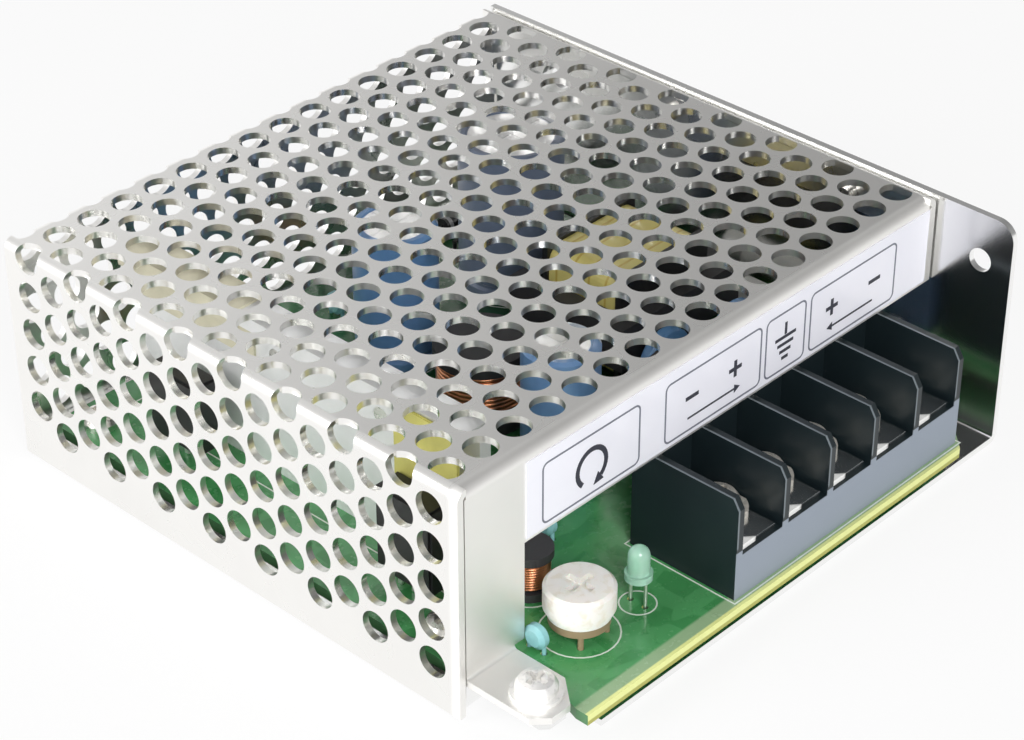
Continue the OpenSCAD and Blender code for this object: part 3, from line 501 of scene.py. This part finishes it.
# %% Nylon, phenolic, epoxy and aluminium
nylon, grubby_nylon = (0.86, 0.84, 0.80), (0.66, 0.58, 0.42)
cap = Finish("white_nylon", (0.84, 0.81, 0.74), 0.38, subsurface_weight=0.15, subsurface_scale=0.002)
cap_top = box_mm("trimmer_cap")[1][2]
in_slot = 1 - cap.z.above(cap_top - 0.5, 0.5)
cap.give("Base Color", cap.blend(cap.noise(1.2, 3).above(0.58, 0.2) * 0.35, nylon, grubby_nylon))
cap.give("Roughness", 0.36 + in_slot * 0.15 + cap.noise(0.6, 2) * 0.1)
cap.bump(cap.noise(0.35, 3), 0.03, 0.6)
paint(cap, "trimmer_cap")
paint(moulded("phenolic", (0.30, 0.22, 0.13), 0.5, 0.3), "trimmer_base")
lens = Finish("lamp_epoxy", (0.55, 0.86, 0.70), 0.12, transmission_weight=0.55, ior=1.5)
lens.give("Base Color", lens.blend(lens.noise(1.5, 2), (0.50, 0.84, 0.66), (0.66, 0.92, 0.80)))
lens.bump(lens.noise(0.8, 1), 0.01, 0.3)
paint(lens, "lamp_lens")
sink = Finish("rolled_aluminium", (0.93, 0.93, 0.94), 0.45, 0.35)
sink.give("Roughness", 0.42 + sink.noise(0.3, 2, stretch=(1, 30, 1)) * 0.16)
sink.bump(sink.noise(0.2, 2, stretch=(1, 40, 1)), 0.01, 0.5)
paint(sink, "heat_sink")
print("trimmer cap's top at", round(cap_top, 2), "mm")

# %% [markdown]
# ## Meshes from outlines
# The print on the label and the board is ink: flat shapes with a hair of thickness. A small pen collects
# outlines on a plane and closes each into a thin solid, so that the print is real geometry and not a
# picture.

# %% A pen that draws thin solids
def piece(name, points, faces, finish, body="case", smooth=False):
    mesh = bpy.data.meshes.new(name)
    mesh.from_pydata(points, [], faces)
    mesh.validate()
    mesh.materials.append(finish.material)
    if smooth:
        mesh.polygons.foreach_set("use_smooth", [True] * len(mesh.polygons))
    made = bpy.data.objects.new(name, mesh)
    bpy.context.scene.collection.objects.link(made)
    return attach(made, body)


class Pen:
    """Collects strips of quads on a plane; `place` turns (across, up, lift) in millimetres into a point."""

    def __init__(self, place, thick):
        self.place, self.thick, self.points, self.faces = place, thick, [], []

    def strip(self, left, right, closed=False):
        """A band between two rows of points, with its own top, underside and walls."""
        count, base = len(left), len(self.points)
        for a, b in zip(left, right):
            section = ((*a, 0), (*b, 0), (*b, self.thick), (*a, self.thick))
            self.points += [self.place(*corner) for corner in section]
        for i in range(count if closed else count - 1):
            now, then = base + 4 * i, base + 4 * ((i + 1) % count)
            self.faces += [[now + k, then + k, then + (k + 1) % 4, now + (k + 1) % 4] for k in range(4)]
        if not closed:
            last = base + 4 * (count - 1)
            self.faces += [[base, base + 1, base + 2, base + 3], [last + 3, last + 2, last + 1, last]]
        return self

    def line(self, points, width, closed=False):
        """A line of even width through the points, mitred at its corners."""
        left, right, count = [], [], len(points)
        for i, here in enumerate(points):
            before = points[i - 1] if i or closed else here
            after = points[(i + 1) % count] if i < count - 1 or closed else here
            legs = ((before, here), (here, after))
            headings = [(Vector(q) - Vector(p)).normalized() for p, q in legs if p != q]
            normals = [Vector((-heading.y, heading.x)) for heading in headings]
            across = sum(normals, Vector((0, 0))).normalized()
            reach = width / 2 / max(0.3, across.dot(normals[0]))
            left.append(tuple(Vector(here) + across * reach))
            right.append(tuple(Vector(here) - across * reach))
        return self.strip(left, right, closed)

    def box(self, x0, y0, x1, y1, width, corner=0.0):
        """An outlined rectangle with round corners."""
        turns, points = 5, []
        centres = ((x1 - corner, y1 - corner, 0), (x0 + corner, y1 - corner, 90),
                   (x0 + corner, y0 + corner, 180), (x1 - corner, y0 + corner, 270))
        for centre_x, centre_y, start in centres:
            angles = [math.radians(start + 90 * k / turns) for k in range(turns + 1 if corner else 1)]
            points += [(centre_x + corner * math.cos(a), centre_y + corner * math.sin(a)) for a in angles]
        return self.line(points, width, closed=True)

    def arc(self, x, y, radius, start, end, width):
        """A line along part of a circle, or round all of it."""
        steps = max(6, int(abs(end - start) / 12))
        angles = [math.radians(start + (end - start) * k / steps) for k in range(steps + 1)]
        full = abs(end - start) >= 360
        angles = angles[:-1] if full else angles
        points = [(x + radius * math.cos(a), y + radius * math.sin(a)) for a in angles]
        return self.line(points, width, closed=full)

    def fill(self, x0, y0, x1, y1):
        """A filled rectangle."""
        return self.strip([(x0, y1), (x1, y1)], [(x0, y0), (x1, y0)])

    def wedge(self, x, y, reach, angle):
        """A solid arrow head whose tip is `reach` from the point, in the direction of the angle."""
        turn = Matrix.Rotation(math.radians(angle), 2)
        half, blunt = reach * 0.55, 0.02
        tip, low, high = (Vector((x, y)) + turn @ Vector(v) for v in ((reach, 0), (0, -half), (0, half)))
        upper = [tuple(high), tuple(tip + (high - tip) * blunt)]
        lower = [tuple(low), tuple(tip + (low - tip) * blunt)]
        return self.strip(upper, lower)

    def done(self, name, finish, body="case"):
        print(name, len(self.faces), "faces")
        return piece(name, self.points, self.faces, finish, body)

# %% [markdown]
# ## The label
# The label is a white polyester film with a lilac cast. Its print is two inks, a grey and a near black,
# each a few hundredths of a millimetre thick on the film's front.

# %% Label film and its inks
film = Finish("label_film", (0.86, 0.86, 0.93), 0.32, coat_weight=0.35, coat_roughness=0.15)
film.give("Base Color", film.blend(film.noise(6, 3), (0.83, 0.83, 0.91), (0.89, 0.89, 0.95)))
film.bump(film.noise(1.4, 3), 0.015, 0.5)
paint(film, "label_strip")
grey_ink = moulded("grey_ink", (0.16, 0.17, 0.21), 0.5, 0.2, 0.004)
black_ink = moulded("black_ink", (0.028, 0.030, 0.045), 0.45, 0.2, 0.004)
label_front = box_mm("label_strip")[0][1]


def on_label(across, up, lift):
    return (across * MM, (label_front - lift) * MM, up * MM)


print("label front at", round(label_front, 2), "mm")

# %% [markdown]
# ## Frames and signs
# Thin grey frames mark which terminals belong together. They hold plain signs: a turning arrow over the
# trimmer, minus and plus at the outputs and the inputs, and the earth sign. An arrow under each pair runs
# from one sign to the other.

# %% Print in two inks
frame_low, frame_high, frame_line, frame_corner = 23.5, 32.6, 0.28, 0.9
frames = Pen(on_label, 0.03)
for left, right in ((-33.8, -15.6), (-10.5, 8.9), (10.0, 18.3), (19.5, 38.4)):
    frames.box(left, frame_low, right, frame_high, frame_line, frame_corner)
frames.done("label_frames", grey_ink)

signs = Pen(on_label, 0.035)
dial_x, dial_z, dial_radius, dial_start, dial_end = -24.7, 27.6, 2.7, -50, 230
head_x = dial_x + dial_radius * math.cos(math.radians(dial_start))
head_z = dial_z + dial_radius * math.sin(math.radians(dial_start))
signs.arc(dial_x, dial_z, dial_radius, dial_start, dial_end, 0.75).wedge(head_x, head_z, 1.7, 215)

sign_row, bar_reach, bar_half = 28.6, 1.3, 0.3
for x, plus in ((-5.2, False), (3.6, True), (24.2, True), (33.7, False)):
    signs.fill(x - bar_reach, sign_row - bar_half, x + bar_reach, sign_row + bar_half)
    if plus:
        signs.fill(x - bar_half, sign_row + bar_half, x + bar_half, sign_row + bar_reach)
        signs.fill(x - bar_half, sign_row - bar_reach, x + bar_half, sign_row - bar_half)

earth_x, earth_z, earth_reach, stroke = 14.15, 28.4, 2.2, 0.5
signs.fill(earth_x - stroke / 2, earth_z + 0.6, earth_x + stroke / 2, earth_z + 2.5)
for k in range(4):
    reach, foot = earth_reach - stroke * k, earth_z - 1.1 * k
    signs.fill(earth_x - reach, foot, earth_x + reach, foot + stroke)

arrow_row, arrow_half = 25.4, 0.15
for left, right, rightward in ((-6.0, 3.5, True), (24.5, 33.5, False)):
    signs.fill(left, arrow_row - arrow_half, right, arrow_row + arrow_half)
    signs.wedge(right if rightward else left, arrow_row, 1.2, 0 if rightward else 180)
signs.done("label_signs", black_ink)

# %% [markdown]
# ## Print on the board
# White legend on the board shows where parts go: rings round the trimmer, the lamp, the cans and the
# small choke, and frames round some of the others. It is drawn from the parts' own boxes, so it stays
# with them.

# %% Board legend
legend_ink = moulded("legend_ink", (0.72, 0.78, 0.70), 0.6, 0.2, 0.004)
ring_gap, frame_gap, legend_line = 0.6, 0.5, 0.22


def on_board(across, up, lift):
    return (across * MM, up * MM, (board_top + lift) * MM)


legend = Pen(on_board, 0.02)
for name in ("trimmer_cap", "lamp_lens", "main_capacitor", "second_capacitor", "output_capacitor",
             "small_choke_core"):
    (x0, y0, _), (x1, y1, _) = box_mm(name)
    legend.arc((x0 + x1) / 2, (y0 + y1) / 2, (x1 - x0) / 2 + ring_gap, 0, 360, legend_line)
for name in ("terminal_block", "transformer_core", "line_capacitor", "control_chip", "optocoupler",
             "heat_sink"):
    (x0, y0, _), (x1, y1, _) = box_mm(name)
    front = max(y0 - frame_gap, board_front + 0.4)
    legend.box(x0 - frame_gap, front, x1 + frame_gap, y1 + frame_gap, legend_line)
legend.done("board_legend", legend_ink)

# %% [markdown]
# ## Wound wire
# A choke's wire is what the eye looks for inside a power supply. Each turn lies against the last, so a
# helix of round wire replaces the plain sleeve that the CAD keeps for mass and collision.

# %% A helix of enamelled wire
copper = Finish("enamelled_copper", (0.60, 0.25, 0.12), 0.28, 1.0, coat_weight=0.5)
copper.give("Base Color", copper.blend(copper.noise(2, 2), (0.50, 0.18, 0.08), (0.68, 0.30, 0.15)))
copper.bump(copper.noise(0.4, 2), 0.01, 0.4)


def tube(path, radius, sides=8):
    """Points and faces of a round wire along a path."""
    points, faces = [], []
    up = Vector((0, 0, 1))
    for i, here in enumerate(path):
        way = (path[min(i + 1, len(path) - 1)] - path[max(i - 1, 0)]).normalized()
        side = way.cross(up if abs(way.dot(up)) < 0.9 else Vector((1, 0, 0))).normalized()
        other = side.cross(way)
        points += [here + (side * math.cos(a) + other * math.sin(a)) * radius
                   for a in (2 * math.pi * k / sides for k in range(sides))]
    for i in range(len(path) - 1):
        a, b = i * sides, (i + 1) * sides
        faces += [[a + k, a + (k + 1) % sides, b + (k + 1) % sides, b + k] for k in range(sides)]
    start_cap = list(range(sides))[::-1]
    end_cap = list(range(len(points) - sides, len(points)))
    return points, faces + [start_cap, end_cap]


def wound_drum(name, node, wire):
    """A helix round an upright drum; `wire` is the wire's radius in millimetres."""
    low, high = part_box(node)
    centre, outer, tall = (low + high) / 2, (high[0] - low[0]) / 2, high[2] - low[2]
    turns, per_turn = int(tall / (wire * 2 * 1.04 * MM)), 24
    steps = per_turn * turns
    rise = (tall - 2 * wire * MM) / steps
    reach = outer - wire * MM
    path = []
    for k in range(steps + 1):
        angle = 2 * math.pi * k / per_turn
        x, y = centre[0] + reach * math.cos(angle), centre[1] + reach * math.sin(angle)
        path.append(Vector((x, y, low[2] + wire * MM + rise * k)))
    made = piece(name, *tube(path, wire * MM), copper, smooth=True)
    print(name, turns, "turns")
    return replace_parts(made, node)


wound_drum("small_choke_wire", "small_choke_winding", 0.2)
wound_drum("output_choke_wire", "output_choke_winding", 0.35)

# %% [markdown]
# ## The line choke
# The mains choke is a ring that stands on edge, with one winding on each side, kept apart for safety. A
# turn goes through the hole and round the outside, so its path is a rounded oblong that creeps round the
# ring. Both halves are swept with the same tube as the drums.

# %% A ring wound in two halves
def wound_ring(name, node, wire, turns, half_angle=48):
    """Two windings on a ring whose axis lies along Y; `wire` is the wire's radius in millimetres."""
    low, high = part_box(node)
    hub = (low + high) / 2
    outer, inner, deep = (high[0] - low[0]) / 2 / MM, 2.0, (high[1] - low[1]) / 2 / MM
    middle, reach = (outer + inner) / 2, (outer - inner) / 2 - wire
    per_turn, squareness = 28, 0.55
    steps = per_turn * turns
    points, faces = [], []
    for start in (0, 180):
        path = []
        for k in range(steps + 1):
            turn = 2 * math.pi * k / per_turn
            out, aside = (math.copysign(abs(v) ** squareness, v) for v in (math.cos(turn), math.sin(turn)))
            angle = math.radians(start - half_angle + 2 * half_angle * k / steps)
            radius = middle + reach * out
            place = (radius * math.cos(angle), (deep - wire) * aside, radius * math.sin(angle))
            path.append(hub + Vector(place) * MM)
        more_points, more_faces = tube(path, wire * MM)
        faces += [[i + len(points) for i in face] for face in more_faces]
        points += more_points
    made = piece(name, points, faces, copper, smooth=True)
    print(name, 2 * turns, "turns")
    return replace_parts(made, node)


wound_ring("line_choke_wire", "line_choke_winding", 0.3, 7)

# %% [markdown]
# ## Devices beside the heat sink
# Behind the left wall's vents, two black devices stand next to the heat sink, at the outer edge of its
# flange. Between that edge and the front device is a yellow insulating pad that stands up above it. A
# moulded body has rounded arrises, and three flat leads go down from it to the board. Bevelled blocks in
# one mesh give that form with few faces.

# %% Bevelled blocks
import bmesh


def blocks(name, finish, *sizes, rounding=0.35):
    """Bevelled blocks in one mesh: each is (x0, x1, y0, y1, z0, z1) in millimetres."""
    form = bmesh.new()
    for x0, x1, y0, y1, z0, z1 in sizes:
        middle, size = ((x0 + x1) / 2, (y0 + y1) / 2, (z0 + z1) / 2), (x1 - x0, y1 - y0, z1 - z0)
        placed = Matrix.Translation(middle) @ Matrix.Diagonal((*size, 1))
        verts = bmesh.ops.create_cube(form, matrix=placed)["verts"]
        edges = list({edge for vert in verts for edge in vert.link_edges})
        bmesh.ops.bevel(form, geom=edges, offset=min(rounding, min(size) * 0.3), segments=2, affect="EDGES")
    bmesh.ops.scale(form, vec=(MM, MM, MM), verts=form.verts)
    mesh = bpy.data.meshes.new(name)
    form.to_mesh(mesh)
    form.free()
    mesh.materials.append(finish.material)
    made = bpy.data.objects.new(name, mesh)
    bpy.context.scene.collection.objects.link(made)
    print(name, len(mesh.polygons), "faces")
    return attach(made, "case")

# %% [markdown]
# ## Where the devices and the pad go
# Their places come from the boxes of the heat sink and of the sleeve on its flange, so they move with the
# CAD. The low side of the sink's box is the flange's edge, and its upright wall is a few millimetres
# further in. The front device is one pad's thickness out from the edge, and the rear one is almost in
# line with it. Each stands on its leads, a little above the board.

# %% Two moulded devices, their leads and the pad
sink_low, sink_high = box_mm("heat_sink")
sleeve_low = box_mm("sink_sleeve")[0]
flange_edge = sink_low[0]
front_y, rear_y = sink_low[1] + 6.3, sleeve_low[1] + 9.5
device_foot = board_top + 2.5
device_thick, device_half = 4.4, 5
lead_outer, lead_inner, lead_half, lead_pitch = 2.6, 2.1, 0.4, 2.54
pad_yellow = moulded("pad_yellow", (0.62, 0.58, 0.16), 0.5)
pad_outer, pad_inner, pad_half = 0.55, 0.05, 5.8


def outer_device(name, y, high_z, gap):
    """A body `gap` millimetres out from the flange's edge, and its three leads."""
    back = flange_edge - gap
    body = (back - device_thick, back, y - device_half, y + device_half, device_foot, high_z)
    leads = [(back - lead_outer, back - lead_inner, y + k * lead_pitch - lead_half,
              y + k * lead_pitch + lead_half, board_top, device_foot + 0.3) for k in (-1, 0, 1)]
    blocks(name + "_body", moulded_finish["black_epoxy"], body)
    blocks(name + "_leads", tin, *leads, rounding=0.1)


pad = (flange_edge - pad_outer, flange_edge - pad_inner, front_y - pad_half, front_y + pad_half,
       board_top + 1.5, sink_high[2] - 0.2)
blocks("insulating_pad", pad_yellow, pad, rounding=0.15)
outer_device("front_device", front_y, board_top + 16, 0.6)
outer_device("rear_device", rear_y, sleeve_low[2] - 3.5, 0.1)

# %% [markdown]
# ## The floor
# Bright metal only looks bright if it has something bright to mirror, so the studio is white all round.
# The floor is a pale matt sheet that keeps the object's shadow. To the camera and to mirrors it is mostly
# plain white, mixed in where Light Path says so, which adds no light to the object's matt surfaces.

# %% White floor
floor = Finish("studio_floor", (0.86, 0.86, 0.86), 0.9)
half, drop = 4.0, 0.0002
floor_mesh = bpy.data.meshes.new("studio_floor")
corners = [(-half, -half, 0), (half, -half, 0), (half, half, 0), (-half, half, 0)]
floor_mesh.from_pydata(corners, [], [[0, 1, 2, 3]])
floor_mesh.materials.append(floor.material)
ground = bpy.data.objects.new("studio_floor", floor_mesh)
ground.location.z = -drop
bpy.context.scene.collection.objects.link(ground)
to_camera, to_mirror, through_lens = floor.rays()
seen = (to_camera * 0.87 + to_mirror + through_lens).smaller(1.0)
glow = floor.add("ShaderNodeEmission", {}, {"Color": (1, 1, 1)})
matt = Signal(floor.tree, floor.shader.outputs[0])
mixed = floor.add("ShaderNodeMixShader", {}, {0: seen, 1: matt, 2: glow})
feed(floor.tree, floor.tree.nodes["Material Output"].inputs["Surface"], mixed)
print("floor", 2 * half, "m wide,", drop, "m below the case")

# %% [markdown]
# ## The white surround
# The world is plain white to the camera. In reflections its ceiling is greyer, which keeps the top of the
# case from washing out, and a darker screen stands to the front right, so that the sheet's faces
# differ. What the world gives as soft light is less again from overhead, so that the sides are lit too.

# %% White horizon, grey ceiling and side screen
world = bpy.data.worlds.new("studio")
bpy.context.scene.world = world
world.use_nodes = True
sky = Tree(world.node_tree)
background = sky.tree.nodes["Background"]
east, north, height = sky.parts(sky.add("ShaderNodeTexCoord", output="Generated"))
to_camera, to_mirror, through_lens = sky.rays()
ceiling_dim, screen_dim, overhead_dim, light_level = 0.35, 0.66, 0.75, 0.42
ceiling = height.above(0.62, 0.5)
screen = height.above(0.12, 0.2) * (east - north).above(-0.05, 0.5)
overhead = height.above(0.45, 0.7)
mirrored = (to_mirror + through_lens) * (1 - ceiling * ceiling_dim) * (1 - screen * screen_dim)
plain = (1 - to_camera - to_mirror - through_lens).larger(0.0)
soft_light = plain * (1 - overhead * overhead_dim) * light_level
feed(sky.tree, background.inputs["Strength"], to_camera + mirrored + soft_light)
feed(sky.tree, background.inputs["Color"], (1, 1, 1))
print("surround lights at", light_level, "of white")

# %% [markdown]
# ## The lamps
# Two broad square lamps do the rest: a key from the front left, and a weaker one from the left and the
# back that lights the left wall. Both are aimed at the middle of the case. With the surround, they light
# a surface to about the colour that it is written in.

# %% Lamps
def lamp(name, place, size, power):
    light = bpy.data.lights.new(name, "AREA")
    light.shape, light.size, light.energy = "SQUARE", size, power
    made = bpy.data.objects.new(name, light)
    made.location = Vector(place)
    made.rotation_mode = "QUATERNION"
    made.rotation_quaternion = (Vector((0, 0, 0.02)) - made.location).to_track_quat("-Z", "Y")
    bpy.context.scene.collection.objects.link(made)
    print(name, power, "W")


lamp("key_lamp", (-0.55, -0.85, 0.7), 0.5, 11.5)
lamp("side_lamp", (-0.9, 0.3, 0.42), 0.6, 8.0)

# %% [markdown]
# ## The camera
# The camera looks down over the front left corner, from about 40 cm, through a long lens. Its direction
# is given as an azimuth round the case, an elevation above the floor and a very small roll.

# %% Camera
camera_data = bpy.data.cameras.new("camera")
camera_data.sensor_width, camera_data.lens = 36.0, 100.44
camera_data.clip_start, camera_data.clip_end = 0.01, 20
camera = bpy.data.objects.new("camera", camera_data)
camera.location = (-0.2442, -0.2280, 0.2376)
camera.rotation_mode = "QUATERNION"
azimuth, elevation, roll = (math.radians(a) for a in (-46.82, 33.82, -0.11))
level = math.cos(elevation)
back = Vector((math.sin(azimuth) * level, -math.cos(azimuth) * level, math.sin(elevation)))
aim = (-back).to_track_quat("-Z", "Y")
camera.rotation_quaternion = Matrix.Rotation(roll, 4, back).to_quaternion() @ aim
bpy.context.scene.collection.objects.link(camera)
bpy.context.scene.camera = camera
bpy.context.scene.view_settings.view_transform = "Standard"
print("camera at", [round(c, 4) for c in camera.location])
